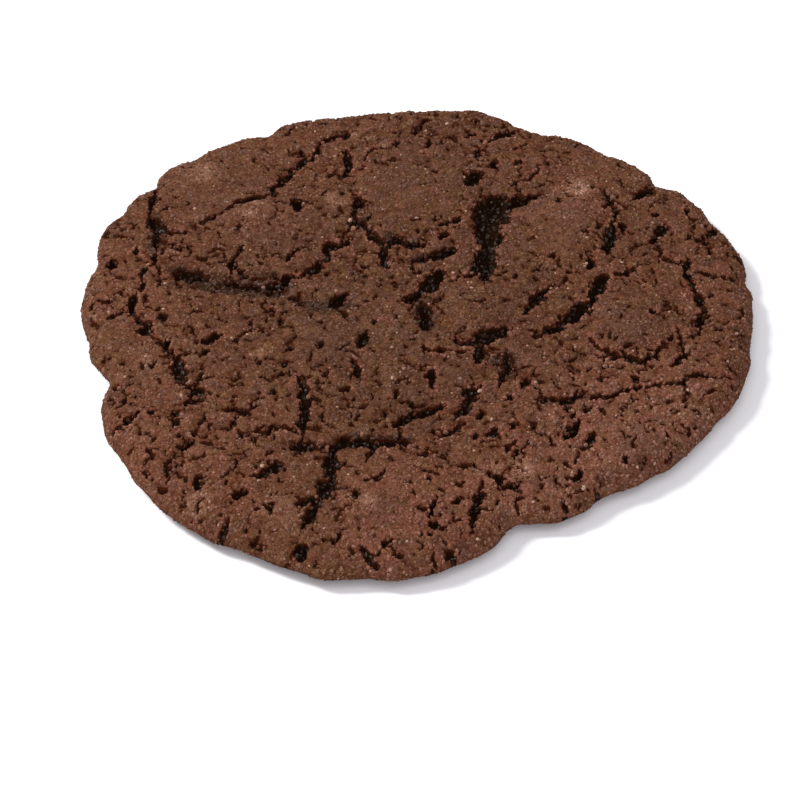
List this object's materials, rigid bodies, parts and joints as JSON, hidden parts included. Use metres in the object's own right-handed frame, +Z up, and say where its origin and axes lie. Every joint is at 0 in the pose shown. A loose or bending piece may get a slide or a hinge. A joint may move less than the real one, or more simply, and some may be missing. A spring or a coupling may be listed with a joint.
{
  "type": "chocolate cookie",
  "caption": "Flat round chocolate cookie with a crackled top, soft mounds, an uneven rounded rim and a flat underside.",
  "frame": {"origin": "middle of the box on the flat underside", "axes": "+Z up through the cookie, from the underside to the crackled top; +Y towards the far side in the picture, +X to the right"},
  "size_m": [0.1006, 0.0988, 0.0085],
  "materials": {
    "chocolate_dough": "dry, sandy, matte dark brown crumb"
  },
  "bodies": {
    "root": {"cookie": "chocolate_dough"}
  },
  "joints": []
}
